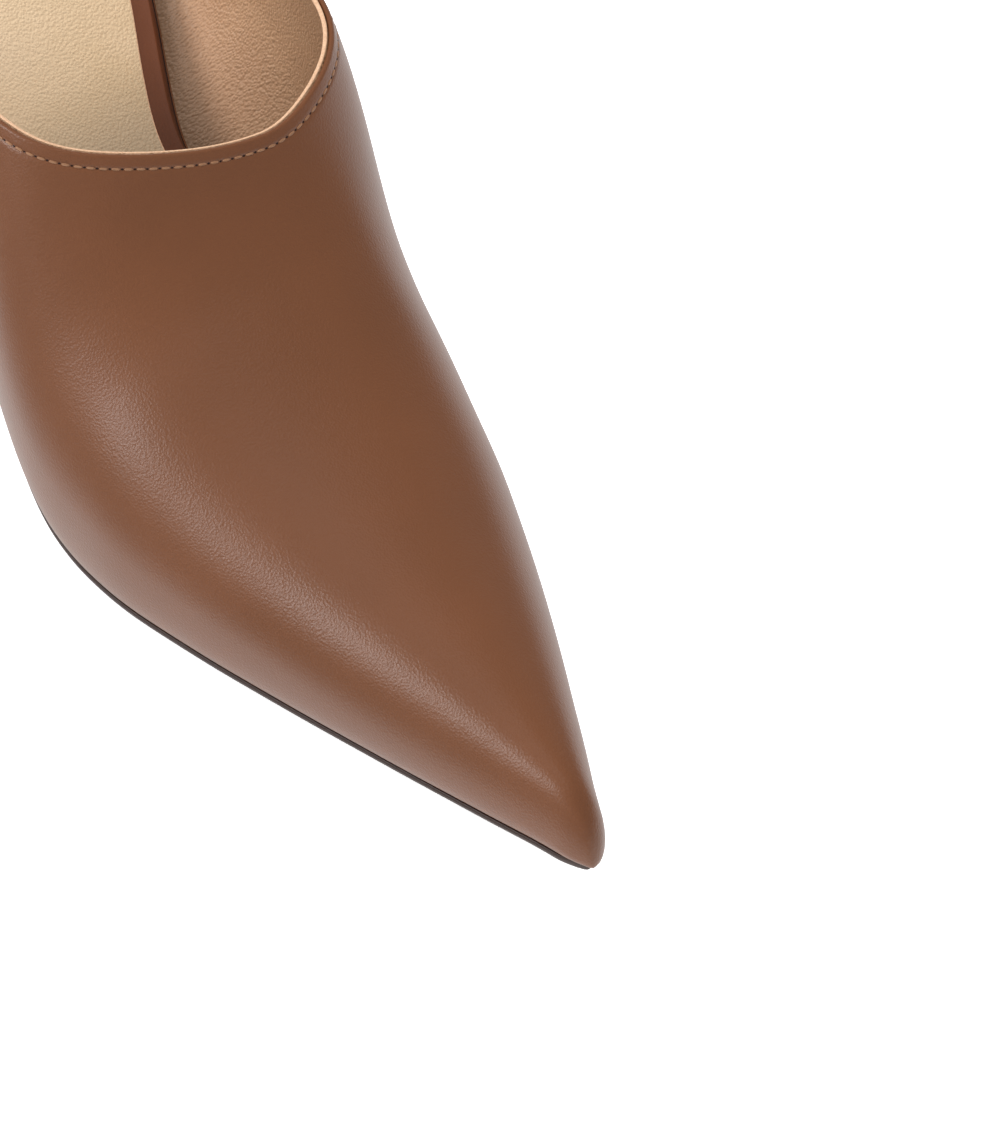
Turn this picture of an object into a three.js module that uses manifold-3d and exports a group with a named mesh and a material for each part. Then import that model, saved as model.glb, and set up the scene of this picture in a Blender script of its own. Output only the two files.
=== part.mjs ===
// Pointed high-heel mule, right shoe: outsole, insole, upper, heel and top piece.
// Millimetres, +Z up, toe towards -Y, inner (medial) side towards +X.
import * as THREE from 'three';
import { mergeVertices } from 'three/addons/utils/BufferGeometryUtils.js';
import Module from 'manifold-3d';

const wasm = await Module();
wasm.setup();

const LENGTH = 246;           // plan length, toe tip to the back of the seat
const WALL = 1.9;             // upper: outer leather and lining together
const GAP = 0.3;              // clearance where two pieces meet
const SOLE_THICK = 1.5;
const INSOLE_THICK = 3;
const TIP_ROUND = 5.2;        // plan radius of the toe
const CREST_ROUND = 8.6;      // length over which the toe rises to its crest
const NOSE_UNDERCUT = 0.4;    // how far the feather line sits behind the nose
const FEATHER = 0.5;          // how far the sole stands out beyond the feather line
const SOLE_SETBACK = 2;       // how far the sole's tip sits behind the nose
const SEAT_ROUND = 27;        // plan radius of the heel seat
const CURVE_SIDE = 0.6;       // fullness of the wall above the bulge
const CURVE_TOP = 0.6;        // fullness of the instep each side of the crest
const UPPER_END = 203;        // where the upper leaves the insole
const INSOLE_FLUSH = 211;     // from here back the insole is as wide as the outsole
const TIP_HEIGHT = 5;         // top piece under the heel
const FAR = 400;              // long enough to cut right through
const SKIRT = 4;              // how far the cavity is cut below the rim
const STEP = 5;               // distance between sections
const ARC_LOW = 6;            // facets from the feather line to the bulge
const ARC_HIGH = 12;          // facets from the bulge to the crest
const HEEL_SIDES = 40;

// Height of the insole's underside above the ground, from the toe (y 0) back.
const SEAT = {
  y: [0, 8, 20, 45, 65, 85, 95, 110, 120, 130, 145, 165, 185, 200, 215, 230, 246],
  z: [7.1, 6.9, 5.6, 3.5, 2.4, 1.9, 1.8, 1.8, 3.3, 7.7, 17.7, 31.2, 44.7, 54.7, 63.2, 69.7, 74.7],
};
// Half widths of the sole either side of x 0.
const SOLE = {
  y: [0, 8, 20, 45, 65, 85, 105, 125, 145, 158, 168, 178, 190, 205, 225, 246],
  medial: [3.1, 4.5, 8.1, 16.7, 22.8, 27.2, 28.8, 27.5, 22.5, 16.8, 14.7, 16.9, 20.6, 23.4, 25, 25],
  lateral: [
    1.2, 4.1, 8.3, 17.3, 24.7, 32, 37.9, 39.9, 37.8, 35.6, 33.8, 32.6, 31.4, 30.2, 29.5, 29,
  ],
};
// The upper over it: bulge beyond the sole each side, height of the bulge, crest.
const LAST = {
  y: [0, 8, 20, 45, 65, 85, 105, 125, 145, 165, 185, 205],
  medialBulge: [0.4, 0.9, 1.8, 1.9, 1.8, 1.8, 2.6, 5.4, 12.6, 17.4, 12.2, 7.6],
  lateralBulge: [0.7, 0.8, 1.1, 1.7, 1.8, 2, 2, 2.2, 2.5, 2.8, 3, 3],
  bulgeHeight: [1.5, 3.2, 5.2, 7.7, 9.8, 12.2, 14.7, 17.6, 21.4, 25, 26.5, 26.5],
  crest: [10, 13.6, 17.8, 25.4, 30.9, 38, 48.1, 61.2, 82, 86, 82, 72],
  crestX: [0, 0, 0.2, 1.2, 2.8, 4.8, 6.3, 6.8, 5.6, 3.7, 1.7, 0.3],
};
// Side view of the topline, from the throat back to where it meets the insole.
const TOPLINE = {
  y: [126, 128.5, 131, 134, 138, 142, 149, 158, 170, 182, 193, 203],
  z: [69, 70.6, 71.7, 72.6, 73.5, 74.2, 74.8, 74.6, 72.4, 68.6, 63.2, 56.4],
};
// Heel sections from the top piece up: breast and back lines, half width.
const HEEL = {
  z: [5.3, 15, 30, 45, 56, 66, 81],
  breast: [229.4, 229, 227.4, 223, 216, 207, 196],
  back: [238.8, 239.2, 240.4, 242.4, 244.2, 245.6, 247],
  half: [4.7, 5.1, 6.6, 9.6, 14.6, 21.6, 28],
};
const HEEL_X = -3;

// A smooth curve through a table's rows that never overshoots them.
function curve(xs, ys) {
  const slope = xs.slice(1).map((x, i) => (ys[i + 1] - ys[i]) / (x - xs[i]));
  const tangent = xs.map((x, i) => {
    if (i === 0) return slope[0];
    if (i === xs.length - 1) return slope[i - 1];
    const [a, b] = [slope[i - 1], slope[i]];
    if (a * b <= 0) return 0;
    const [u, v] = [x - xs[i - 1], xs[i + 1] - x];
    return 3 * (u + v) / ((2 * v + u) / a + (v + 2 * u) / b);
  });
  return (x) => {
    let i = 0;
    while (i < xs.length - 2 && x > xs[i + 1]) i += 1;
    const h = xs[i + 1] - xs[i];
    const t = Math.min(Math.max((x - xs[i]) / h, 0), 1);
    return (1 + 2 * t) * (1 - t) ** 2 * ys[i] + t * (1 - t) ** 2 * h * tangent[i]
      + t * t * (3 - 2 * t) * ys[i + 1] + t * t * (t - 1) * h * tangent[i + 1];
  };
}

const seat = curve(SEAT.y, SEAT.z);
const medial = curve(SOLE.y, SOLE.medial);
const lateral = curve(SOLE.y, SOLE.lateral);
const medialBulge = curve(LAST.y, LAST.medialBulge);
const lateralBulge = curve(LAST.y, LAST.lateralBulge);
const bulgeHeight = curve(LAST.y, LAST.bulgeHeight);
const crest = curve(LAST.y, LAST.crest);
const crestX = curve(LAST.y, LAST.crestX);

// Quarter round: 0 at the tip, 1 once t reaches 1.
const round = (t) => Math.sqrt(1 - (1 - Math.min(Math.max(t, 0), 1)) ** 2);

// One section of the upper from the medial feather line over the crest to the
// lateral one. The cavity is the same section set in by the wall, with its rim
// carried straight down by the skirt.
function upperSection(y, inset) {
  const back = y - inset;
  const undercut = inset ? 0 : NOSE_UNDERCUT;
  const rim = round((back - undercut) / TIP_ROUND);
  const wide = round(back / TIP_ROUND);
  const middle = bulgeHeight(y);
  const low = undercut ? middle * (1 - round(back / undercut)) : 0;
  const top = middle + (crest(y) - inset - middle) * round(back / CREST_ROUND);
  const ridge = crestX(y) * wide;
  const half = [[1, medial(y), medialBulge(y)], [-1, lateral(y), lateralBulge(y)]];
  const sides = half.map(([side, foot, bulge]) => {
    const feather = (foot - (inset || FEATHER)) * rim;
    const widest = (foot - inset + bulge) * wide;
    const points = inset ? [[side * feather, -SKIRT]] : [];
    for (let i = 0; i < ARC_LOW; i += 1) {
      const a = (Math.PI / 2) * (i / ARC_LOW);
      points.push([
        side * (feather + (widest - feather) * Math.sin(a)),
        low + (middle - low) * (1 - Math.cos(a)),
      ]);
    }
    const corner = ridge + (side * widest - ridge) * CURVE_TOP;
    for (let i = 0; i <= ARC_HIGH; i += 1) {
      const t = i / ARC_HIGH;
      const [a, b, c, d] = [(1 - t) ** 3, 3 * t * (1 - t) ** 2, 3 * t * t * (1 - t), t ** 3];
      points.push([
        (a + b) * side * widest + c * corner + d * ridge,
        a * middle + b * (middle + CURVE_SIDE * (top - middle)) + (c + d) * top,
      ]);
    }
    return points;
  });
  return [...sides[0], ...sides[1].reverse().slice(1)].map(([x, z]) => [x, y, z + seat(y)]);
}

// Closes a stack of open sections into a solid: sides, floor and back wall.
function loft(rows) {
  const points = [];
  const known = new Map();
  const index = rows.map((row) => row.map((p) => {
    const key = p.map((v) => v.toFixed(5)).join();
    if (!known.has(key)) {
      known.set(key, points.length / 3);
      points.push(...p);
    }
    return known.get(key);
  }));
  const faces = [];
  const face = (a, b, c) => {
    if (a !== b && b !== c && c !== a) faces.push(a, b, c);
  };
  const last = index[0].length - 1;
  for (let i = 0; i + 1 < index.length; i += 1) {
    const [a, b] = [index[i], index[i + 1]];
    for (let j = 0; j <= last; j += 1) {
      const k = (j + 1) % (last + 1);
      face(a[j], b[j], b[k]);
      face(a[j], b[k], a[k]);
    }
  }
  const cap = (row, flip) => {
    for (let j = 0; j < last - j; j += 1) {
      const [a, b, c, d] = [row[j], row[j + 1], row[last - j - 1], row[last - j]];
      face(a, flip ? c : b, flip ? b : c);
      face(a, flip ? d : c, flip ? c : d);
    }
  };
  cap(index[0], false);
  cap(index[index.length - 1], true);
  const mesh = new wasm.Mesh({
    numProp: 3, vertProperties: new Float32Array(points), triVerts: new Uint32Array(faces),
  });
  mesh.merge();
  const solid = new wasm.Manifold(mesh);
  return solid.volume() < 0 ? new wasm.Manifold(flipped(mesh)) : solid;
}

function flipped(mesh) {
  const turned = mesh.triVerts.slice();
  for (let i = 0; i < turned.length; i += 3) [turned[i], turned[i + 1]] = [turned[i + 1], turned[i]];
  return new wasm.Mesh({ numProp: 3, vertProperties: mesh.vertProperties, triVerts: turned });
}

// Distances from a toe that starts at `start`, closer together round the tip.
function stations(start, end) {
  const tip = [0, 0.15, 0.5, 1, 1.6, 2.4, 3.4, 4.8, 6.8, 9].map((d) => start + d);
  const count = Math.ceil((end - tip[tip.length - 1]) / STEP);
  const pace = (end - tip[tip.length - 1]) / count;
  return [...tip, ...Array.from({ length: count }, (_, i) => tip[tip.length - 1] + pace * (i + 1))];
}

// The sole's outline seen from above, set in by `inset(y)` and rounded at both ends.
function outline(inset, start = inset(0)) {
  const end = LENGTH - inset(LENGTH);
  const front = stations(start, end - SEAT_ROUND);
  const seatEnd = Array.from({ length: 12 }, (_, i) => (
    end - SEAT_ROUND + SEAT_ROUND * Math.sin((Math.PI / 2) * ((i + 1) / 12))));
  const ys = [...front, ...seatEnd];
  const edge = (side) => ys.map((y) => {
    const toe = round((y - start) / TIP_ROUND);
    const middle = ((medial(y) - lateral(y)) / 2) * toe;
    const half = (medial(y) + lateral(y)) / 2 - inset(y);
    return [middle + side * half * toe * round((end - y) / SEAT_ROUND), y];
  });
  return [...edge(1), ...edge(-1).reverse().slice(1, -1)];
}

const upright = (points) => (
  wasm.Manifold.extrude([points], FAR).translate([0, 0, -FAR / 2]));

// A side-view shape in y and z carried right across the shoe.
const across = (points) => (
  wasm.Manifold.extrude([points], FAR).translate([0, 0, -FAR / 2]).rotate([90, 0, 90]));

// The layer between two heights above the insole's underside.
function layer(from, to) {
  const ys = [-STEP, ...stations(0, LENGTH + STEP)];
  return across([
    ...ys.map((y) => [y, seat(y) + from]),
    ...ys.slice().reverse().map((y) => [y, seat(y) + to]),
  ]);
}

function outsole() {
  return upright(outline(() => 0, SOLE_SETBACK)).intersect(layer(-GAP - SOLE_THICK, -GAP));
}

function insole() {
  const inset = (y) => {
    const t = Math.min(Math.max((y - UPPER_END - 1) / (INSOLE_FLUSH - UPPER_END - 1), 0), 1);
    return (WALL + GAP) * (1 - t * t * (3 - 2 * t));
  };
  return upright(outline(inset)).intersect(layer(0, INSOLE_THICK));
}

function upper() {
  const end = LAST.y[LAST.y.length - 1];
  const outer = loft(stations(0, end).map((y) => upperSection(y, 0)));
  const cavity = loft(stations(WALL, end + STEP).map((y) => upperSection(y, WALL)));
  const height = curve(TOPLINE.y, TOPLINE.z);
  const steps = Array.from({ length: 31 }, (_, i) => (
    TOPLINE.y[0] + (UPPER_END - TOPLINE.y[0]) * (i / 30)));
  const kept = across([
    [-STEP, -STEP], [UPPER_END, -STEP],
    ...steps.slice().reverse().map((y) => [y, height(y)]),
    [TOPLINE.y[0], FAR / 4], [-STEP, FAR / 4],
  ]);
  return outer.subtract(cavity).intersect(kept);
}

// A heel section: rounded at the back, flatter at the breast.
function heelSection(front, back, half, z) {
  return Array.from({ length: HEEL_SIDES }, (_, i) => {
    const a = (2 * Math.PI * (i + 0.5)) / HEEL_SIDES;
    const power = 2 / (Math.cos(a) < 0 ? 4 : 2.3);
    const bend = (v) => Math.sign(v) * Math.abs(v) ** power;
    return [
      HEEL_X + half * bend(Math.sin(a)),
      (front + back) / 2 + ((back - front) / 2) * bend(Math.cos(a)),
      z,
    ];
  });
}

function heel() {
  const [breast, back, half] = [HEEL.breast, HEEL.back, HEEL.half].map((row) => curve(HEEL.z, row));
  const foot = HEEL.z[0];
  const rows = Array.from({ length: 17 }, (_, i) => (
    foot + (HEEL.z[HEEL.z.length - 1] - foot) * (i / 16)));
  const body = loft(rows.map((z) => heelSection(breast(z), back(z), half(z), z)));
  return body.intersect(layer(-FAR / 4, -2 * GAP - SOLE_THICK)).intersect(upright(outline(() => GAP)));
}

function topPiece() {
  const rows = [0, TIP_HEIGHT].map((z) => (
    heelSection(HEEL.breast[0], HEEL.back[0], HEEL.half[0], z)));
  return loft(rows);
}

const pieces = [
  ['outsole', outsole(), '#3a2622', 0.55],
  ['insole', insole(), '#6f432c', 0.5],
  ['upper', upper(), '#7e5136', 0.45],
  ['heel', heel(), '#7e5136', 0.45],
  ['heel_tip', topPiece(), '#241c1a', 0.6],
];

const shoe = new THREE.Group();
shoe.name = 'mule';
for (const [name, solid, color, roughness] of pieces) {
  const { numProp, vertProperties, triVerts } = solid.getMesh();
  const raw = new THREE.BufferGeometry();
  const count = vertProperties.length / numProp;
  const position = new Float32Array(count * 3);
  for (let i = 0; i < count; i += 1) position.set(vertProperties.subarray(i * numProp, i * numProp + 3), i * 3);
  raw.setAttribute('position', new THREE.BufferAttribute(position, 3));
  raw.setIndex([...triVerts]);
  const geometry = mergeVertices(raw, 0.0001);
  const mesh = new THREE.Mesh(geometry, new THREE.MeshStandardMaterial({ color, roughness, metalness: 0 }));
  mesh.name = name;
  shoe.add(mesh);
}

// The origin goes under the middle of the whole shoe, on the ground.
const box = new THREE.Box3().setFromObject(shoe);
const middle = box.getCenter(new THREE.Vector3());
for (const mesh of shoe.children) {
  mesh.geometry.translate(-middle.x, -middle.y, -box.min.z);
  mesh.geometry.computeVertexNormals();
}

export default shoe;
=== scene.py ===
# %% [markdown]
# # A pointed leather mule, piece by piece
# The solid model of the shoe is loaded first and stays fixed. It gives every new
# piece its place, so nothing has to be fitted by eye afterwards.

# %% Load the solid model
import math
import bmesh
import bpy
import numpy as np
from mathutils import Matrix, Vector


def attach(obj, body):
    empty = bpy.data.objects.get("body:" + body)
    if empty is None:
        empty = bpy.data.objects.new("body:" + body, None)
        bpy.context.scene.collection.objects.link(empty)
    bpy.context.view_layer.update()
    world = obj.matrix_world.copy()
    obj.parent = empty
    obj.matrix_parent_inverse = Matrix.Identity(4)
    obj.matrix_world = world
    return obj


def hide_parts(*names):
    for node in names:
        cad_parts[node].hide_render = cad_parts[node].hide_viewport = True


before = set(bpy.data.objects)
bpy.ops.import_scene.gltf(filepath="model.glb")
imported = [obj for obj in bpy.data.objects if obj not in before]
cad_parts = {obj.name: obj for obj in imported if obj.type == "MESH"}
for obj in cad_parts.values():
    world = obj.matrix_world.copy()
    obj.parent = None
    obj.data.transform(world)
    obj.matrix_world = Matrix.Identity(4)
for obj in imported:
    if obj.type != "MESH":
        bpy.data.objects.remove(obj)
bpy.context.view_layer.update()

# %% [markdown]
# Shoes are drawn in millimetres from the toe tip backwards. The model's origin is
# under the middle of the shoe, so one shift takes a drawing point to its place.
# The short tables below are the last, the wooden form that the shoe is built on.

# %% The last in numbers
MM = 0.001
LENGTH = 246.0
SHIFT = np.array([3.54, -LENGTH / 2, 0.0])
OUTER_LEATHER = 1.1
LINING_LEATHER = 0.8
SOLE = 1.5
TOP_PIECE = 5.0
GAP = 0.3  # room between two pieces that meet
TIP_ROUND = 5.2  # length of the toe's rounding seen from above
CREST_ROUND = 8.6  # the same seen from the side
NOSE_UNDERCUT = 0.4  # the feather line starts this far behind the toe's tip
FEATHER = 0.5  # and lies this far in from the sole's outline
SOLE_SETBACK = 2.0
SEAT_ROUND = 27.0  # length of the rounding at the back of the seat
UPPER_END = 203.0

seat_table = {
    "y": [0, 8, 20, 45, 65, 85, 95, 110, 120, 130, 145, 165, 185, 200, 215, 230, 246],
    "height": [7.1, 6.9, 5.6, 3.5, 2.4, 1.9, 1.8, 1.8, 3.3, 7.7, 17.7, 31.2, 44.7, 54.7, 63.2, 69.7, 74.7],
}
sole_table = {
    "y": [0, 8, 20, 45, 65, 85, 105, 125, 145, 158, 168, 178, 190, 205, 225, 246],
    "medial": [3.1, 4.5, 8.1, 16.7, 22.8, 27.2, 28.8, 27.5, 22.5, 16.8, 14.7, 16.9, 20.6, 23.4, 25, 25],
    "lateral": [1.2, 4.1, 8.3, 17.3, 24.7, 32, 37.9, 39.9, 37.8, 35.6, 33.8, 32.6, 31.4, 30.2, 29.5, 29],
}
last_table = {
    "y": [0, 8, 20, 45, 65, 85, 105, 125, 145, 165, 185, 205],
    "medial_bulge": [0.4, 0.9, 1.8, 1.9, 1.8, 1.8, 2.6, 5.4, 12.6, 17.4, 12.2, 7.6],
    "lateral_bulge": [0.7, 0.8, 1.1, 1.7, 1.8, 2, 2, 2.2, 2.5, 2.8, 3, 3],
    "bulge_height": [1.5, 3.2, 5.2, 7.7, 9.8, 12.2, 14.7, 17.6, 21.4, 25, 26.5, 26.5],
    "crest": [10, 13.6, 17.8, 25.4, 30.9, 38, 48.1, 61.2, 82, 86, 82, 72],
    "crest_x": [0, 0, 0.2, 1.2, 2.8, 4.8, 6.3, 6.8, 5.6, 3.7, 1.7, 0.3],
}
topline_table = {
    "y": [118, 126, 128.5, 131, 134, 138, 142, 149, 158, 170, 182, 193, 203, 212],
    "height": [64, 69, 70.6, 71.7, 72.6, 73.5, 74.2, 74.8, 74.6, 72.4, 68.6, 63.2, 56.4, 50],
}
print("tables:", len(sole_table["y"]), "stations along the sole")

# %% [markdown]
# A curve through the rows of a table must not overshoot them, or the leather would
# show waves that the last hasn't got. Slopes that are zero at each peak do that,
# and a light blur along the length then takes out the last kinks, as sanding does.

# %% Smooth curves through the tables
def drawn(table, key, blur=3.5):
    """A table's column becomes a curve over its first column; blur is in millimetres."""
    xs, ys = np.array(table["y"], float), np.array(table[key], float)
    h, d = np.diff(xs), np.diff(ys) / np.diff(xs)
    slope = np.zeros_like(xs)
    slope[0], slope[-1] = d[0], d[-1]
    for i in range(1, len(xs) - 1):
        if d[i - 1] * d[i] > 0:
            a, b = 2 * h[i] + h[i - 1], h[i] + 2 * h[i - 1]
            slope[i] = (a + b) / (a / d[i - 1] + b / d[i])
    step = 0.25
    at = np.arange(xs[0] - 20, xs[-1] + 20, step)
    inside = np.clip(at, xs[0], xs[-1])
    i = np.clip(np.searchsorted(xs, inside) - 1, 0, len(h) - 1)
    t = (inside - xs[i]) / h[i]
    value = ((1 + 2 * t) * (1 - t) ** 2 * ys[i] + t * (1 - t) ** 2 * h[i] * slope[i]
             + t * t * (3 - 2 * t) * ys[i + 1] + t * t * (t - 1) * h[i] * slope[i + 1])
    value += slope[0] * np.minimum(at - xs[0], 0) + slope[-1] * np.maximum(at - xs[-1], 0)
    reach = np.arange(-4 * blur, 4 * blur + step, step)
    bell = np.exp(-0.5 * (reach / blur) ** 2)
    value = np.convolve(np.pad(value, len(bell) // 2, mode="edge"), bell / bell.sum(), mode="valid")
    return lambda y: np.interp(y, at, value[:len(at)])


seat = drawn(seat_table, "height", 2.0)
medial, lateral = drawn(sole_table, "medial"), drawn(sole_table, "lateral")
last = {key: drawn(last_table, key) for key in last_table if key != "y"}
topline = drawn(topline_table, "height", 1.5)
print("seat at the ball", round(float(seat(102)), 2), "mm, at the back", round(float(seat(246)), 2), "mm")

# %% [markdown]
# Each piece of leather or board here is one sheet: a grid whose points are moved to
# where the last puts them. The grid gives even quads, which shade and bend well.

# %% Sheets from a moved grid
def quarter(t):
    """The height of a quarter circle, 0 at its start and 1 from its end on."""
    return np.sqrt(1 - (1 - np.clip(t, 0, 1)) ** 2)


def made(name, mesh):
    data = bpy.data.meshes.new(name)
    mesh.to_mesh(data)
    mesh.free()
    data.polygons.foreach_set("use_smooth", [True] * len(data.polygons))
    piece = bpy.data.objects.new(name, data)
    bpy.context.scene.collection.objects.link(piece)
    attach(piece, "root")
    print(name, len(data.polygons), "faces")
    return piece


def sheet(name, points, flip=False, edging=None):
    """points[row][column], in drawing millimetres, becomes a piece.

    edging(row, column) says which faces are cut edge and take the second material.
    """
    rows, columns = points.shape[:2]
    mesh = bmesh.new()
    bmesh.ops.create_grid(mesh, x_segments=columns - 1, y_segments=rows - 1, size=0.5)
    for face in mesh.faces if edging else []:
        middle = face.calc_center_median()
        face.material_index = int(edging((middle.y + 0.5) * (rows - 1), (middle.x + 0.5) * (columns - 1)))
    grid = mesh.loops.layers.uv.new("grid")
    for face in mesh.faces:
        for corner in face.loops:
            corner[grid].uv = corner.vert.co.x + 0.5, corner.vert.co.y + 0.5
    for v in mesh.verts:
        i, j = round((v.co.x + 0.5) * (columns - 1)), round((v.co.y + 0.5) * (rows - 1))
        v.co = (points[j, i] + SHIFT) * MM
    bmesh.ops.remove_doubles(mesh, verts=mesh.verts, dist=0.00001)
    bmesh.ops.dissolve_degenerate(mesh, edges=mesh.edges, dist=0.000002)
    if flip:
        bmesh.ops.reverse_faces(mesh, faces=mesh.faces)
    return made(name, mesh)

# %% [markdown]
# A section across the upper starts at the feather line, where the leather turns under
# the last, swells to its widest and closes over the instep. Half of it is a quarter
# ellipse and half a Bezier curve, so both meet upright at the widest point.

# %% One section of the upper
WIDEST_AT = 0.28  # share of a half section that lies below its widest point
FULLNESS = 0.6  # how far the curve over the instep reaches into its corner


def upper_point(y, q):
    """y is the station; q runs from 0 at the inner feather line over the crest to 1 at the outer one."""
    y, q = np.broadcast_arrays(np.asarray(y, float), np.asarray(q, float))
    side = np.where(q < 0.5, 1.0, -1.0)
    run = np.where(q < 0.5, q, 1 - q) * 2
    foot = np.where(q < 0.5, medial(y), lateral(y))
    bulge = np.where(q < 0.5, last["medial_bulge"](y), last["lateral_bulge"](y))
    middle, crest = last["bulge_height"](y), last["crest"](y)
    rim, wide = quarter((y - NOSE_UNDERCUT) / TIP_ROUND), quarter(y / TIP_ROUND)
    low = middle * (1 - quarter(y / NOSE_UNDERCUT))
    top = middle + (crest - middle) * quarter(y / CREST_ROUND)
    ridge = last["crest_x"](y) * wide
    feather, widest = (foot - FEATHER) * rim, (foot + bulge) * wide
    a = np.clip(run / WIDEST_AT, 0, 1) * math.pi / 2
    t = np.clip((run - WIDEST_AT) / (1 - WIDEST_AT), 0, 1)
    lower_x = side * (feather + (widest - feather) * np.sin(a))
    lower_z = low + (middle - low) * (1 - np.cos(a))
    b0, b1, b2, b3 = (1 - t) ** 3, 3 * t * (1 - t) ** 2, 3 * t * t * (1 - t), t ** 3
    corner = ridge + (side * widest - ridge) * FULLNESS
    upper_x = (b0 + b1) * side * widest + b2 * corner + b3 * ridge
    upper_z = b0 * middle + b1 * (middle + FULLNESS * (top - middle)) + (b2 + b3) * top
    x = np.where(run < WIDEST_AT, lower_x, upper_x)
    z = np.where(run < WIDEST_AT, lower_z, upper_z)
    return np.stack([x, y, z + seat(y)], -1)


print("widest at the ball", upper_point(102.0, WIDEST_AT / 2).round(1), "mm")

# %% [markdown]
# The topline is the edge that the foot passes. The upper's grid ends exactly on it:
# for each lengthwise line of the grid, the place where the line climbs through the
# topline's side view is found.

# %% Where the upper's lines meet the topline
COLUMNS = 280
STRIDE = 0.1
q = np.linspace(0, 1, COLUMNS + 1)
walk = np.arange(119.0, 211.0, STRIDE)
rise = upper_point(walk[:, None], q[None, :])[..., 2] - topline(walk)[:, None]
first = np.argmax(rise > 0, axis=0)
below, above = rise[first - 1, np.arange(COLUMNS + 1)], rise[first, np.arange(COLUMNS + 1)]
edge_y = walk[first - 1] + STRIDE * below / (below - above)
edge = upper_point(edge_y, q)
lengths = np.concatenate([[0], np.cumsum(np.linalg.norm(np.diff(edge, axis=0), axis=1))])
print("topline", round(float(lengths[-1]), 1), "mm long")

# %% [markdown]
# Near the topline the grid's rows keep a fixed distance from it, so that the fold and
# the stitching run parallel to it, as a sewing machine's guide makes them. At the toe
# the rows crowd together to draw the rounding, and between the two they are even.

# %% Lay the upper's grid out
near = np.array([0, 0.25, 0.6, 1.0, 1.35, 1.6, 1.8, 1.95, 2.1, 2.3, 2.6, 3.0, 3.6, 4.5, 6.0, 8.0])
fine = np.linspace(0, lengths[-1], 3000)
dense = np.stack([np.interp(fine, lengths, edge[:, k]) for k in range(3)], -1)
back = np.linspace(0, 30, 90)
near_y = np.zeros((len(near), COLUMNS + 1))
for i in range(COLUMNS + 1):
    line = upper_point(edge_y[i] - back, np.full(len(back), q[i]))
    away = np.sqrt(((line[:, None, :] - dense[None, :, :]) ** 2).sum(-1)).min(1)
    away[0] = 0
    near_y[:, i] = edge_y[i] - np.interp(near, np.maximum.accumulate(away), back)
tip = np.array([0, 0.03, 0.1, 0.22, 0.4, 0.65, 1.0, 1.4, 1.9, 2.5, 3.2, 4.0, 5.0, 6.2, 7.5, 9.0])
middle_rows = np.linspace(0, 1, 100)[1:-1]
rows_y = np.concatenate([
    np.repeat(tip[:, None], COLUMNS + 1, 1),
    tip[-1] + (near_y[-1][None, :] - tip[-1]) * middle_rows[:, None],
    near_y[::-1]])
outside = upper_point(rows_y, q[None, :])
print("grid", outside.shape)

# %% [markdown]
# Leather has a thickness, so every inner surface is the outer one moved inwards along
# its normals. The normal comes from the cross product of the grid's two directions.
# The tight thread pulls the leather down, so the seam lies in a shallow groove.

# %% Normals of the grid and the seam's groove
def normals(points):
    along, round_ = np.gradient(points, axis=0), np.gradient(points, axis=1)
    n = np.cross(along, round_)
    size = np.linalg.norm(n, axis=-1, keepdims=True)
    n = n / np.maximum(size, 1e-9)
    return n if n[len(points) // 2, points.shape[1] // 2, 2] > 0 else -n


SEAM_IN = 2.0  # the seam's distance from the topline
GROOVE_DEPTH, GROOVE_WIDTH = 0.16, 0.32
FAR = 99.0
out = normals(outside)
out[0] = np.array([0, -1, 0])
depth = np.concatenate([np.full(len(tip) + len(middle_rows), FAR), near[::-1]])
groove = GROOVE_DEPTH * np.exp(-((depth - SEAM_IN) / GROOVE_WIDTH) ** 2)
leather = outside - out * groove[:, None, None]
print("stitching groove", round(float(groove.max()), 2), "mm deep")

# %% [markdown]
# The topline of a good shoe is folded: the leather is pared thin, turned over and
# cemented down, so the edge is a soft roll. Here the last row of the sheet is carried
# on round a half circle, and then a little way down inside.

# %% The folded edge of the outer leather
def carried_on(points, n, thick, tuck):
    """Rows that roll the sheet's last row over by its thickness and tuck it down inside."""
    onward = points[-1] - points[-3]
    onward = onward - n[-1] * (onward * n[-1]).sum(-1, keepdims=True)
    rim = np.gradient(points[-1], axis=0)
    rim /= np.linalg.norm(rim, axis=-1, keepdims=True)
    onward = onward - rim * (onward * rim).sum(-1, keepdims=True)
    onward /= np.linalg.norm(onward, axis=-1, keepdims=True)
    r = thick / 2
    angles = np.linspace(0, math.pi, 9)[1:]
    roll = [points[-1] + onward * r * math.sin(a) - n[-1] * r * (1 - math.cos(a)) for a in angles]
    down = [roll[-1] - onward * d for d in tuck]
    return np.stack(roll + down), onward


out_edge = normals(leather)
out_edge[0] = out[0]
roll, onward = carried_on(leather, out_edge, OUTER_LEATHER, [1.0, 3.0])
print("fold", roll.shape[0], "rows")

# %% [markdown]
# At the feather line the upper meets the sole. The lasting margin of the leather is
# pulled under the last and glued to the insole, so the sheet gets a few more columns
# on both sides that run inwards and hide its lower edge.

# %% The lasting margin and the outer leather as a piece
def turned_under(points, inward, lift):
    """Adds one column on both sides for each distance inward, lifted by as much as lift says."""
    margins = []
    for side in (points[:, :1], points[:, -1:]):
        columns = []
        for distance, up in zip(inward, lift):
            column = side.copy()
            reach = np.minimum(distance, np.abs(column[..., 0]) * 0.9)
            column[..., 0] -= reach * np.sign(column[..., 0])
            column[..., 2] += up
            columns.append(column)
        margins.append(columns)
    return np.concatenate(margins[0][::-1] + [points] + margins[1], 1)


shell = turned_under(np.concatenate([leather, roll]), [0.3, 1.8], [-0.1, 0.0])
upper_leather = sheet("upper_leather", shell)
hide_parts("upper")

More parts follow.
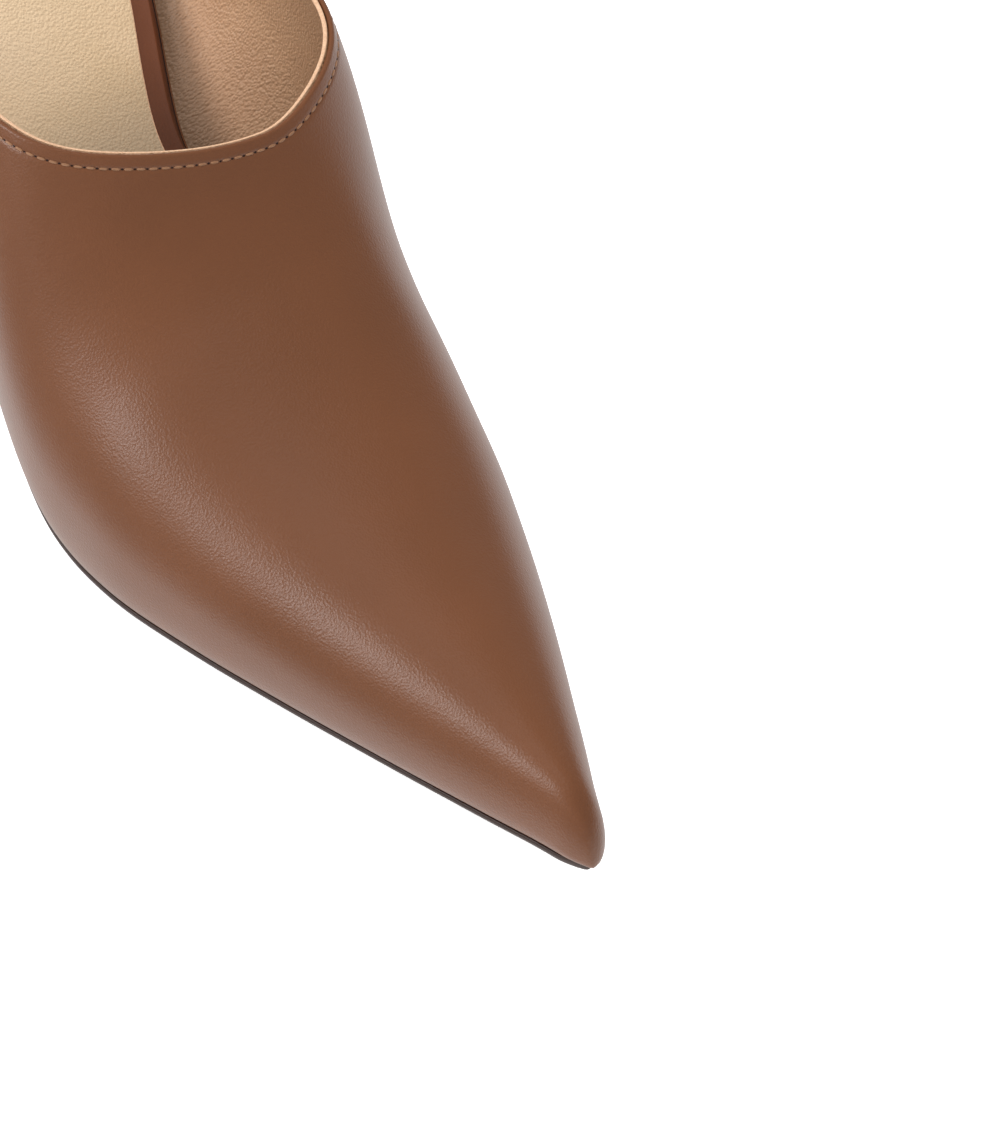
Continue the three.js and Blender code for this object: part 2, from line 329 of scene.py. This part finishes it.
# %% [markdown]
# The lining is a second, thinner leather glued inside. Its edge is left raw and shows
# as a pale line just inside the fold, so that rim gets its own material. It starts
# well inside the toe, where nobody sees it.

# %% The lining's two faces and its raw edge
LINING_START = 14
GLUE = 0.05
LIP = 0.8  # how far the raw edge stands past the last row, inside the fold


def inner(points, n, d):
    """The grid moved inwards by d, and by less in the narrow toe."""
    moved = points - n * d
    moved[:len(tip)] = points[:len(tip)] - n[:len(tip)] * d * 0.6
    return moved


n_shell = normals(outside)
n_shell[0] = out[0]
face_out = inner(outside, n_shell, OUTER_LEATHER + GLUE)[LINING_START:]
face_in = inner(outside, n_shell, OUTER_LEATHER + GLUE + LINING_LEATHER)[LINING_START:]
lip = onward * LIP
raw = [face_out[-1] + lip * 0.8, face_out[-1] + lip - n_shell[-1] * 0.08,
       face_in[-1] + lip + n_shell[-1] * 0.12, face_in[-1] + lip * 0.8]
front = face_in[:1].mean(axis=1, keepdims=True) + np.zeros_like(face_in[:1])
lining_rows = np.concatenate(
    [front, face_in, np.stack(raw[::-1]), face_out[-1:], face_out[-6:-1][::-1]])
print("lining", lining_rows.shape[0], "rows")

# %% [markdown]
# Low down, the lining runs straight to the edge of the insole, where it goes under
# with the lasting margin. Its lowest columns are replaced by that straight run.

# %% The lining as a piece
def to_board(points, cut=5, above=0.15):
    """Brings the lining down to the insole's edge on each side in a straight run below its cut columns."""
    wall = OUTER_LEATHER + LINING_LEATHER + 0.15
    kept = points[:, cut:-cut]
    sides = []
    for side, width, column in ((1, medial, kept[:, 0]), (-1, lateral, kept[:, -1])):
        at = column[:, 1]
        foot = np.maximum(width(at) * quarter((at - NOSE_UNDERCUT) / TIP_ROUND) - wall, 0)
        low = np.stack([side * foot, at, seat(at) + above], -1)
        sides.append([(low * (1 - f) + column * f)[:, None] for f in (0, 0.25, 0.5, 0.75)])
    return np.concatenate(sides[0] + [kept] + sides[1][::-1], 1)


edge_rows = (len(face_in), len(face_in) + len(raw))
lining = sheet("upper_lining", to_board(lining_rows), flip=True,
               edging=lambda row, column: edge_rows[0] < row < edge_rows[1])

# %% [markdown]
# A lockstitch shows as short bars of thread with a needle hole between each two. One
# matrix lays a small ball along the seam: its axes go along the seam, across it and
# out of the leather, and its sizes make it a bar or a pit.

# %% Places along the seam
row = len(leather) - 1 - int(np.argmin(np.abs(near - SEAM_IN)))
seam = leather[row]
seam_n = normals(leather)[row]
run = np.concatenate([[0], np.cumsum(np.linalg.norm(np.diff(seam, axis=0), axis=1))])


def on_seam(s):
    """The place, the outward normal and the way ahead at the length s along the seam."""
    point, n, before, after = (
        np.array([np.interp(at, run, line[:, k]) for k in range(3)])
        for at, line in ((s, seam), (s, seam_n), (s - 0.3, seam), (s + 0.3, seam)))
    ahead = after - before
    return point, n / np.linalg.norm(n), ahead / np.linalg.norm(ahead)


def placed(point, along, up, half_sizes):
    side = np.cross(up, along)
    turned = Matrix(np.stack([along, side, up], 1).tolist()).to_4x4()
    sized = Matrix.Diagonal((*[v * MM for v in half_sizes], 1))
    return Matrix.Translation(Vector((point + SHIFT) * MM)) @ turned @ sized


print("seam", round(float(run[-1]), 1), "mm long")

# %% [markdown]
# The bars are balls with their ends made blunt, as thread is where it dives into the
# leather. All bars become one piece and all holes another.

# %% The stitches and the needle holes
STITCH = 2.15
SEAM_START = 3.5
BAR = (0.76, 0.27, 0.2)
HOLE = (0.27, 0.24, 0.16)
BLUNT = 0.7
count = int((run[-1] - 2 * SEAM_START) / STITCH)
thread, holes = bmesh.new(), bmesh.new()
for k in range(count):
    s = SEAM_START + k * (run[-1] - 2 * SEAM_START) / count
    p, n, ahead = on_seam(s)
    bar = bmesh.ops.create_uvsphere(thread, u_segments=10, v_segments=8, radius=1)["verts"]
    for v in bar:
        v.co.x = math.copysign(abs(v.co.x) ** BLUNT, v.co.x)
    bmesh.ops.transform(thread, verts=bar, matrix=placed(p + n * 0.03, ahead, n, BAR))
    p, n, ahead = on_seam(s + STITCH / 2)
    pit = bmesh.ops.create_uvsphere(holes, u_segments=8, v_segments=6, radius=1)["verts"]
    bmesh.ops.transform(holes, verts=pit, matrix=placed(p - n * 0.05, ahead, n, HOLE))
stitches = made("topline_stitches", thread)
needle_holes = made("needle_holes", holes)
print(count, "stitches, one every", STITCH, "mm")

# %% [markdown]
# The insole, the sock and the outsole share one way of building: a profile, read
# across the shoe from one bottom edge over the top to the other, is carried from toe
# to heel. Each row of the profile says how far in from the outline and how high it is.

# %% Carry a profile along the sole
def sole_outline(y, inset, start, end):
    """The middle and the half width of a piece of the sole that runs from start to end."""
    toe = quarter((y - start) / TIP_ROUND)
    half = (medial(y) + lateral(y)) / 2 - inset
    return (medial(y) - lateral(y)) / 2 * toe, half * toe * quarter((end - y) / SEAT_ROUND)


NARROW = 6.0  # half width below which the profile's steps shrink with the piece


def carried(name, profile, inset, start, end, across=24, rows=170, edging=None):
    """profile rows are (distance in from the edge, height above the seat), bottom edge first."""
    tip_rows = start + TIP_ROUND * (1 - np.cos(np.linspace(0, math.pi / 2, 14)))
    seat_rows = end - SEAT_ROUND * (1 - np.sin(np.linspace(0, math.pi / 2, 26)))
    ys = np.concatenate([tip_rows, np.linspace(tip_rows[-1], seat_rows[0], rows)[1:-1], seat_rows])
    middle, half = sole_outline(ys, inset(ys), start, end)
    edge_in, height = np.array(profile, float).T
    shrink = np.clip(half / NARROW, 0, 1)
    walls = []
    for side in (1, -1):
        x = middle[:, None] + side * np.maximum(half[:, None] - edge_in[None, :] * shrink[:, None], 0)
        z = seat(ys)[:, None] + height[None, :]
        walls.append(np.stack([x, ys[:, None] + 0 * x, z], -1))
    left, right = walls
    f = np.linspace(0, 1, across + 1)[1:-1][None, :, None]
    top = left[:, -1:] * (1 - f) + right[:, -1:] * f
    ring = np.concatenate([left, top, right[:, ::-1]], 1)
    floor = ring[:, -1:] * (1 - f) + ring[:, :1] * f
    ring = np.concatenate([ring, floor, ring[:, :1]], 1)
    return sheet(name, ring, edging=edging)


def blend_in(y, a, b, low, high):
    """Goes softly from low at a to high at b."""
    t = np.clip((y - a) / (b - a), 0, 1)
    t = t * t * (3 - 2 * t)
    return low * (1 - t) + high * t


ball_half = sole_outline(102.0, 0.0, SOLE_SETBACK, LENGTH)[1]
print("sole", round(2 * float(ball_half), 1), "mm wide at the ball")

# %% [markdown]
# The insole is a stiff board covered with the upper's leather. It lies inside the
# upper as far as the upper's ends and is as wide as the sole behind them. Its rounded
# top edge shows beside the sock as a brown band.

# %% The covered insole
INSIDE_UPPER = OUTER_LEATHER + LINING_LEATHER + GAP


def board_inset(y):
    return blend_in(y, UPPER_END + 1, UPPER_END + 9, INSIDE_UPPER, 0.0)


board_edge = [(0.5, 0.0), (0.4, 0.2), (0.42, 0.6), (0.6, 1.2), (0.92, 2.0), (1.2, 2.6), (1.3, 2.8),
              (1.4, 2.93), (1.5, 2.99), (1.6, 3.0), (1.72, 2.99), (2.3, 2.93), (3.0, 2.93)]
insole = carried("insole_cover", board_edge, board_inset, INSIDE_UPPER, LENGTH)
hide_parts("insole")

# %% [markdown]
# The sock is a thin leather glued on the board. It stops short of the board's edge,
# and further in on the forepart, and its cut edge is a row of faces of its own.

# %% The sock
def sock_inset(y):
    return blend_in(y, 178, 238, 7.2, 5.0)


sock_edge = [(0, 2.85), (0, 3.2), (0.02, 3.42), (0.06, 3.5), (0.14, 3.54), (0.24, 3.54), (0.8, 3.54)]
sock = carried("sock", sock_edge, sock_inset, 42.0, LENGTH - 4.6, edging=lambda row, column: column < 5)

# %% [markdown]
# The outsole is one layer of leather. Its lower edge is bevelled and its upper edge
# nearly sharp, so that only a fine dark line shows below the upper.

# %% The outsole
tread_edge = [(0.9, -GAP - SOLE), (0.35, -GAP - SOLE + 0.12), (0.06, -GAP - SOLE + 0.45),
              (0, -GAP - 0.8), (0, -GAP - 0.15), (0.15, -GAP), (0.5, -GAP)]
outsole = carried("outsole_leather", tread_edge, lambda y: 0 * y, SOLE_SETBACK, LENGTH)
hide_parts("outsole")

# %% [markdown]
# The heel is a moulded core with the upper's leather wrapped round it. Its sections
# are flatter at the breast, the side that faces the toe, so each is a rounded shape
# between an ellipse and a box, drawn from a short table.

# %% The heel's sections
heel_table = {
    "z": [5.3, 15, 30, 45, 56, 66, 81],
    "breast": [229.4, 229, 227.4, 223, 216, 207, 196],
    "back": [238.8, 239.2, 240.4, 242.4, 244.2, 245.6, 247],
    "half": [4.7, 5.1, 6.6, 9.6, 14.6, 21.6, 28],
}
heel = {}
for key in ("breast", "back", "half"):
    renamed = {"y": heel_table["z"], key: heel_table[key]}
    heel[key] = drawn(renamed, key, 2.0)
HEEL_X = -3.0


def heel_point(z, angle):
    """A point of the heel's skin; angle 0 is at the back, and no point leaves the seat's outline."""
    breast, rear, half = heel["breast"](z), heel["back"](z), heel["half"](z)
    c, s = np.cos(angle), np.sin(angle)
    power = 2 / (3.15 - 0.85 * np.tanh(3 * c))
    y = (breast + rear) / 2 + (rear - breast) / 2 * np.sign(c) * np.abs(c) ** power
    x = HEEL_X + half * np.sign(s) * np.abs(s) ** power
    middle = (medial(y) - lateral(y)) / 2
    room = (medial(y) + lateral(y)) / 2 * quarter((LENGTH - y) / SEAT_ROUND) - GAP
    x = np.clip(x, middle - room, middle + room)
    return np.stack([x, np.minimum(y, LENGTH - GAP), z + 0 * x], -1)


print("heel", round(float(heel["half"](30)) * 2, 1), "mm wide at 30 mm")

# %% [markdown]
# The heel's top is a cup that follows the underside of the seat. Its height is found
# by trying: each round moves the rim towards the sole at the place it stands over.

# %% The covered heel
ROUND = 97  # points round a section
HEEL_START = TOP_PIECE + GAP
angle = np.linspace(0, 2 * math.pi, ROUND)
z_top = np.full(ROUND, 60.0)
for _ in range(60):
    p = heel_point(z_top, angle)
    z_top = z_top + 0.5 * (seat(p[:, 1]) - SOLE - 2 * GAP - z_top)
v = np.linspace(0, 1, 70)[:, None]
skin = heel_point(HEEL_START + (z_top[None, :] - HEEL_START) * v, angle[None, :])
centre_top = skin[-1].mean(0, keepdims=True) + np.zeros_like(skin[-1])
centre_top[:, 2] = seat(centre_top[:, 1]) - SOLE - 2 * GAP
centre_low = skin[0].mean(0, keepdims=True) + np.zeros_like(skin[0])
edge_low = skin[0] * 0.96 + centre_low * 0.04
heel_rows = np.concatenate([centre_low[None], edge_low[None], skin, centre_top[None]])
heel_rows[1, :, 2] = HEEL_START
heel_rows[2, :, 2] = HEEL_START + 0.15
heel_cover = sheet("heel_cover", heel_rows, flip=True)
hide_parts("heel")

# %% [markdown]
# The top piece is hard rubber with the outline of the heel's lowest section. Its rows
# are that outline, grown or shrunk, from the middle of its base to the middle of its top.

# %% The top piece
ring = heel_point(np.full(ROUND, HEEL_START), angle)
centre = ring.mean(0)
steps = [(0.0, 0.0), (0.93, 0.0), (0.98, 0.15), (1.0, 0.5), (1.0, TOP_PIECE - 0.4),
         (0.97, TOP_PIECE - 0.1), (0.9, TOP_PIECE), (0.0, TOP_PIECE)]
piece_rows = []
for grow, z in steps:
    row_points = centre + (ring - centre) * grow
    row_points[:, 2] = z
    piece_rows.append(row_points)
top_piece = sheet("heel_top_piece", np.stack(piece_rows), flip=True)
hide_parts("heel_tip")

# %% [markdown]
# Every finish below is built from nodes. One function turns an sRGB hex colour into
# the linear numbers that the shader wants, and one adds a node with its settings and
# links. A pattern's scale is the number of its grains in a metre, so grains that are
# 0.5 mm wide have the scale 2 / MM.

# %% Colour and node helpers
def linear(code):
    parts = [int(code[i:i + 2], 16) / 255 for i in (1, 3, 5)]
    return (*[c / 12.92 if c <= 0.04045 else ((c + 0.055) / 1.055) ** 2.4 for c in parts], 1.0)


def add(tree, kind, settings=None, **links):
    """Settings name a property or an input; links name an input, or i0, i1 for its number."""
    node = tree.nodes.new(kind)
    for key, value in (settings or {}).items():
        if isinstance(key, str) and hasattr(node, key):
            setattr(node, key, value)
        else:
            node.inputs[key].default_value = value
    for key, source in links.items():
        by_number = key[0] == "i" and key[1:].isdigit()
        socket = node.inputs[int(key[1:])] if by_number else node.inputs[key.replace("_", " ")]
        tree.links.new(source, socket)
    return node


def finish(name):
    material = bpy.data.materials.new(name)
    material.use_nodes = True
    tree = material.node_tree
    tree.nodes.clear()
    shader = add(tree, "ShaderNodeBsdfPrincipled")
    add(tree, "ShaderNodeOutputMaterial", Surface=shader.outputs["BSDF"])
    where = add(tree, "ShaderNodeTexCoord").outputs["Object"]
    return material, tree, shader, where


def ramp(tree, source, low, high, dark, light):
    node = add(tree, "ShaderNodeValToRGB", None, Fac=source)
    first, last_one = node.color_ramp.elements
    first.position, last_one.position = low, high
    first.color, last_one.color = linear(dark), linear(light)
    return node.outputs["Color"]


print("leather brown", [round(c, 3) for c in linear("#643a1e")])

# %% [markdown]
# Down in the throat, where the vamp closes over the foot, less light gets in, and the
# studio's soft fills reach further than they should. So the sock, the lining and the
# insole's cover are toned down between two stations, the second one in full light.

# %% Tone towards the throat
THROAT = (167.0, 184.0)
LINING_THROAT = (143.0, 183.0)


def painted_throat_shade(tree, where, colour, least, stations=THROAT, other=None):
    """Darkens a colour as painted shade: multiplies it by least in front of the first station, rising to 1 at
    the second, and by other.
    """
    start, end = ((y + SHIFT[1]) * MM for y in stations)
    split = add(tree, "ShaderNodeSeparateXYZ", None, Vector=where)
    level = add(tree, "ShaderNodeMapRange",
                {"From Min": start, "From Max": end, "To Min": least, "interpolation_type": "SMOOTHSTEP"},
                Value=split.outputs["Y"])
    value = level.outputs["Result"]
    if other:
        value = add(tree, "ShaderNodeMath", {"operation": "MULTIPLY"}, i0=value, i1=other).outputs["Value"]
    return add(tree, "ShaderNodeHueSaturation", None, Color=colour, Value=value).outputs["Color"]


print("throat from", THROAT[0], "to", THROAT[1], "mm behind the toe")

# %% [markdown]
# Smooth calf leather is tanned, dyed through, and finished with a thin film. The film
# gives a soft broad shine. Under it the grain shows as a fine pebble, and the dye
# varies a little from place to place. A real pore is smaller still, and is drawn as
# coarse as it needs to be to show.

# %% Calf leather for the upper, the insole cover and the heel
def calf(name, dark, light, roughness, grain=0.12, throat=1.0):
    material, tree, shader, where = finish(name)
    # Patches of dye about 33 mm wide; they are also a little more or less worn.
    patches = add(tree, "ShaderNodeTexNoise", {"Scale": 0.03 / MM, "Detail": 3.0, "Roughness": 0.5},
                  Vector=where)
    colour = ramp(tree, patches.outputs["Fac"], 0.35, 0.68, dark, light)
    # Painted shade towards the throat where throat is below 1; the insole's cover takes it.
    if throat < 1:
        colour = painted_throat_shade(tree, where, colour, throat)
    tree.links.new(colour, shader.inputs["Base Color"])
    worn = add(tree, "ShaderNodeMapRange", {"To Min": roughness - 0.05, "To Max": roughness + 0.05},
               Value=patches.outputs["Fac"])
    tree.links.new(worn.outputs["Result"], shader.inputs["Roughness"])
    # Pebbles 0.42 mm wide with wrinkles of 0.3 mm on them.
    pebble = add(tree, "ShaderNodeTexVoronoi",
                 {"Scale": 2.4 / MM, "feature": "SMOOTH_F1", "Smoothness": 0.5}, Vector=where)
    wrinkle = add(tree, "ShaderNodeTexNoise", {"Scale": 3.4 / MM, "Detail": 3.0}, Vector=where)
    height = add(tree, "ShaderNodeMath", {"operation": "MULTIPLY_ADD", 1: 0.45},
                 i0=wrinkle.outputs["Fac"], i2=pebble.outputs["Distance"])
    bump = add(tree, "ShaderNodeBump", {"Strength": grain, "Distance": 0.2 * MM},
               Height=height.outputs["Value"])
    tree.links.new(bump.outputs["Normal"], shader.inputs["Normal"])
    shader.inputs["IOR"].default_value = 1.5
    return material


calf_upper = calf("calf_leather_smooth", "#643a1e", "#693d20", 0.38, 0.24)
calf_board = calf("calf_leather_insole_cover", "#683b24", "#70412a", 0.5, throat=0.6)
upper_leather.data.materials.append(calf_upper)
heel_cover.data.materials.append(calf_upper)
insole.data.materials.append(calf_board)
print("calf leather on", upper_leather.name, heel_cover.name, insole.name)

# %% [markdown]
# Goat or pig lining is thin and left in its natural tan. It wrinkles finely across
# the pull, so its relief is stretched noise over a coarser pebble. Close to the
# insole it lies in the narrow gap beside the board, where little light comes in, so
# its colour is darkened there as painted shade: the sheet's own map tells how near
# each point is to that lower edge. It also takes the painted shade towards the throat.

# %% Lining leather
material, tree, shader, where = finish("lining_leather")
tone = add(tree, "ShaderNodeTexNoise", {"Scale": 0.06 / MM, "Detail": 3.0}, Vector=where)
tan = ramp(tree, tone.outputs["Fac"], 0.3, 0.7, "#b18969", "#be9776")
# Painted shade in the gap beside the insole board, darkest at the sheet's lower edges.
grid_map = add(tree, "ShaderNodeUVMap", {"uv_map": "grid"})
across = add(tree, "ShaderNodeSeparateXYZ", None, Vector=grid_map.outputs["UV"])
from_edge = add(tree, "ShaderNodeMath", {"operation": "PINGPONG", 1: 0.5}, i0=across.outputs["X"])
painted_gap_shade = add(tree, "ShaderNodeMapRange",
               {"From Max": 0.05, "To Min": 0.4, "interpolation_type": "SMOOTHSTEP"},
               Value=from_edge.outputs["Value"])
shade = painted_throat_shade(tree, where, tan, 0.8, LINING_THROAT, other=painted_gap_shade.outputs["Result"])
tree.links.new(shade, shader.inputs["Base Color"])
# Pebbles 0.9 mm wide and wrinkles of 1.4 mm, drawn narrower across the pull.
pulled = add(tree, "ShaderNodeMapping", {"Rotation": (0.5, 0.2, 0.35), "Scale": (1.0, 1.9, 1.5)},
             Vector=where)
wrinkle = add(tree, "ShaderNodeTexNoise",
              {"Scale": 0.7 / MM, "Detail": 2.0, "Roughness": 0.4, "Distortion": 0.4},
              Vector=pulled.outputs["Vector"])
pebble = add(tree, "ShaderNodeTexVoronoi",
             {"Scale": 1.15 / MM, "feature": "SMOOTH_F1", "Smoothness": 0.3},
             Vector=pulled.outputs["Vector"])
height = add(tree, "ShaderNodeMath", {"operation": "MULTIPLY_ADD", 1: 0.6},
             i0=wrinkle.outputs["Fac"], i2=pebble.outputs["Distance"])
bump = add(tree, "ShaderNodeBump", {"Strength": 0.8, "Distance": 0.25 * MM, "invert": True},
           Height=height.outputs["Value"])
tree.links.new(bump.outputs["Normal"], shader.inputs["Normal"])
shader.inputs["Roughness"].default_value = 0.5
lining.data.materials.append(material)
print(material.name, "on", lining.name)

# %% [markdown]
# A raw edge is cut leather: pale, dull and fibrous, because no film covers it. The
# fibres are 0.4 mm apart. The lining and the sock share it.

# %% Raw cut edge
raw_edge, tree, shader, where = finish("raw_leather_edge")
fibre = add(tree, "ShaderNodeTexNoise", {"Scale": 2.5 / MM, "Detail": 3.0}, Vector=where)
pale = ramp(tree, fibre.outputs["Fac"], 0.3, 0.7, "#c79d7c", "#dcb898")
tree.links.new(pale, shader.inputs["Base Color"])
shader.inputs["Roughness"].default_value = 0.75
lining.data.materials.append(raw_edge)
print(raw_edge.name, "is material", len(lining.data.materials), "of", lining.name)

# %% [markdown]
# The sock is the glued-in footbed cover, a paler leather with an open grain. Its
# pebbles are 0.5 mm wide, with creases of 0.9 mm, and the film on it is thin, so its
# shine is soft.

# %% Sock leather
material, tree, shader, where = finish("sock_leather")
tone = add(tree, "ShaderNodeTexNoise", {"Scale": 0.05 / MM, "Detail": 3.0}, Vector=where)
sand = ramp(tree, tone.outputs["Fac"], 0.3, 0.7, "#cfb490", "#dac09f")
# The sock's colour takes the painted shade towards the throat.
tree.links.new(painted_throat_shade(tree, where, sand, 0.64), shader.inputs["Base Color"])
pebble = add(tree, "ShaderNodeTexVoronoi",
             {"Scale": 1.95 / MM, "feature": "SMOOTH_F1", "Smoothness": 0.3}, Vector=where)
crease = add(tree, "ShaderNodeTexNoise", {"Scale": 1.1 / MM, "Detail": 3.0, "Distortion": 0.6},
             Vector=where)
height = add(tree, "ShaderNodeMath", {"operation": "MULTIPLY_ADD", 1: 0.4},
             i0=crease.outputs["Fac"], i2=pebble.outputs["Distance"])
bump = add(tree, "ShaderNodeBump", {"Strength": 0.55, "Distance": 0.25 * MM, "invert": True},
           Height=height.outputs["Value"])
tree.links.new(bump.outputs["Normal"], shader.inputs["Normal"])
shader.inputs["Roughness"].default_value = 0.48
sock.data.materials.append(material)
sock.data.materials.append(raw_edge)
print(material.name, "on", sock.name)

# %% [markdown]
# Thread is waxed polyester, a little lighter than the leather and slightly shiny. A
# needle hole is only shadow, so its finish is a dark, dull brown. The sole's leather
# is inked and burnished at its edge, dark with a low shine, and the top piece is
# moulded rubber, nearly black. All four are one colour with a fine speckle.

# %% Thread, needle holes, sole leather and top piece
def plain(name, colour, roughness, specks, spread=0.12):
    """specks is their number in a millimetre, spread how far one lightens or darkens the colour."""
    material, tree, shader, where = finish(name)
    noise = add(tree, "ShaderNodeTexNoise", {"Scale": specks / MM, "Detail": 3.0}, Vector=where)
    level = add(tree, "ShaderNodeMapRange", {"To Min": 1 - spread, "To Max": 1 + spread},
                Value=noise.outputs["Fac"])
    shade = add(tree, "ShaderNodeHueSaturation", {"Color": linear(colour)}, Value=level.outputs["Result"])
    tree.links.new(shade.outputs["Color"], shader.inputs["Base Color"])
    bump = add(tree, "ShaderNodeBump", {"Strength": 0.15, "Distance": 0.1 * MM}, Height=noise.outputs["Fac"])
    tree.links.new(bump.outputs["Normal"], shader.inputs["Normal"])
    shader.inputs["Roughness"].default_value = roughness
    return material


thread_wax = plain("waxed_polyester_thread", "#8a6244", 0.5, 3.5)
hole_shadow = plain("needle_hole_shadow", "#241109", 0.9, 1.5)
sole_leather = plain("inked_sole_leather", "#341f17", 0.45, 0.9)
rubber = plain("moulded_rubber_top_piece", "#1d1716", 0.55, 1.2)
for piece, material in ((stitches, thread_wax), (needle_holes, hole_shadow),
                        (outsole, sole_leather), (top_piece, rubber)):
    piece.data.materials.append(material)
    print(material.name, "on", piece.name)

# %% [markdown]
# The shoe stands on white paper that glows a little, as a backlit table does, so it
# stays white under the shoe's soft shadow. The paper is hidden from reflections only:
# a studio has dark cards beside the shoe there, and the world below takes their part.

# %% Floor
floor = bmesh.new()
bmesh.ops.create_grid(floor, x_segments=2, y_segments=2, size=6.0)
floor_data = bpy.data.meshes.new("studio_floor")
floor.to_mesh(floor_data)
floor.free()
studio_floor = bpy.data.objects.new("studio_floor", floor_data)
bpy.context.scene.collection.objects.link(studio_floor)
studio_floor.location.z = -0.0002
white_paper = plain("white_paper", "#f7f7f7", 0.9, 0.04, 0.005)
paper_shader = white_paper.node_tree.nodes["Principled BSDF"]
paper_shader.inputs["Emission Color"].default_value = (1, 1, 1, 1)
paper_shader.inputs["Emission Strength"].default_value = 0.75
floor_data.materials.append(white_paper)
studio_floor.visible_glossy = False
print("floor", tuple(studio_floor.dimensions))

# %% [markdown]
# Leather's film mirrors the room softly, so the room decides where the flank is dark
# and where its lower edge lights up. The world is a room of grey bands from straight
# down, 0, over the horizon, 0.5, to straight up, 1. On the outer side the floor's
# light ends in a dark card; on the inner side it reaches the horizon.

# %% World
world = bpy.data.worlds.new("studio")
bpy.context.scene.world = world
world.use_nodes = True
studio = world.node_tree
direction = add(studio, "ShaderNodeTexCoord").outputs["Generated"]
sky = add(studio, "ShaderNodeSeparateXYZ", None, Vector=direction)
climb = add(studio, "ShaderNodeMapRange", {"From Min": -1.0}, Value=sky.outputs["Z"])


def bands(stops):
    """stops are (height in the room, grey), lowest first."""
    node = add(studio, "ShaderNodeValToRGB", None, Fac=climb.outputs["Result"])
    for place, grey in stops[1:-1]:
        node.color_ramp.elements.new(place)
    for element, (place, grey) in zip(node.color_ramp.elements, stops):
        element.position, element.color = place, (grey, grey, grey, 1)
    return node.outputs["Color"]


outer_side = bands([(0.0, 1.0), (0.19, 1.0), (0.3, 0.2), (0.53, 0.18), (0.6, 0.4), (1.0, 0.33)])
inner_side = bands([(0.0, 0.95), (0.49, 0.95), (0.51, 0.12), (0.725, 0.33), (1.0, 0.33)])
side_share = add(studio, "ShaderNodeMapRange", {"From Min": -0.6, "From Max": -0.2}, Value=sky.outputs["X"])
room = add(studio, "ShaderNodeMixRGB", None, Fac=side_share.outputs["Result"],
           Color1=outer_side, Color2=inner_side)
studio.links.new(room.outputs["Color"], studio.nodes["Background"].inputs["Color"])
studio.nodes["Background"].inputs["Strength"].default_value = 1.5
print("world", len(studio.nodes), "nodes")

# %% [markdown]
# One softbox on the outer side draws the long highlight along the flank. Two fills
# light the vamp and the footbed from above and behind, and are hidden from reflections
# so that they add no highlight of their own.

# %% Lights
def soft_light(name, place, size, power, target=(0, -0.03, 0.03), glossy=True):
    data = bpy.data.lights.new(name, "AREA")
    data.shape, data.energy = "RECTANGLE", power
    data.size, data.size_y = size
    light = bpy.data.objects.new(name, data)
    light.location = place
    light.rotation_euler = (Vector(target) - Vector(place)).to_track_quat("-Z", "Y").to_euler()
    light.visible_glossy = glossy
    bpy.context.scene.collection.objects.link(light)
    print(name, power, "W")


soft_light("softbox_left", (-1.22, 0.29, 0.66), (0.6, 0.45), 8.2)
soft_light("back_right_fill", (0.95, 0.65, 0.8), (0.7, 0.7), 6, glossy=False)
soft_light("overhead_fill", (-0.25, 0.1, 1.45), (0.9, 0.9), 15, glossy=False)

# %% [markdown]
# The camera is a long lens far away, so the toe hardly grows towards the viewer. It
# looks down on the forepart from the outer side of the shoe, and is aimed at a point
# up and to the left of the toe.

# %% Camera
DISTANCE = 1.325
AZIMUTH, ELEVATION = math.radians(-29.47), math.radians(44.0)
TOE_HEIGHT = 0.0098
AIM_LEFT, AIM_UP = 0.01577, 0.04888
level = Vector((math.sin(AZIMUTH), -math.cos(AZIMUTH), 0)) * math.cos(ELEVATION)
backward = level + Vector((0, 0, math.sin(ELEVATION)))
rightward = Vector((math.cos(AZIMUTH), math.sin(AZIMUTH), 0))
upward = backward.cross(rightward)
toe = Vector((SHIFT[0] * MM, SHIFT[1] * MM, TOE_HEIGHT))
camera_data = bpy.data.cameras.new("camera")
camera_data.sensor_width = 36
camera_data.lens = 253.2
camera_data.clip_start, camera_data.clip_end = 0.05, 50
camera = bpy.data.objects.new("camera", camera_data)
camera.location = toe - rightward * AIM_LEFT + upward * AIM_UP + backward * DISTANCE
camera.rotation_euler = backward.to_track_quat("Z", "Y").to_euler()
bpy.context.scene.collection.objects.link(camera)
bpy.context.scene.camera = camera
bpy.context.scene.view_settings.view_transform = "Standard"
print("camera at", tuple(round(v, 3) for v in camera.location))
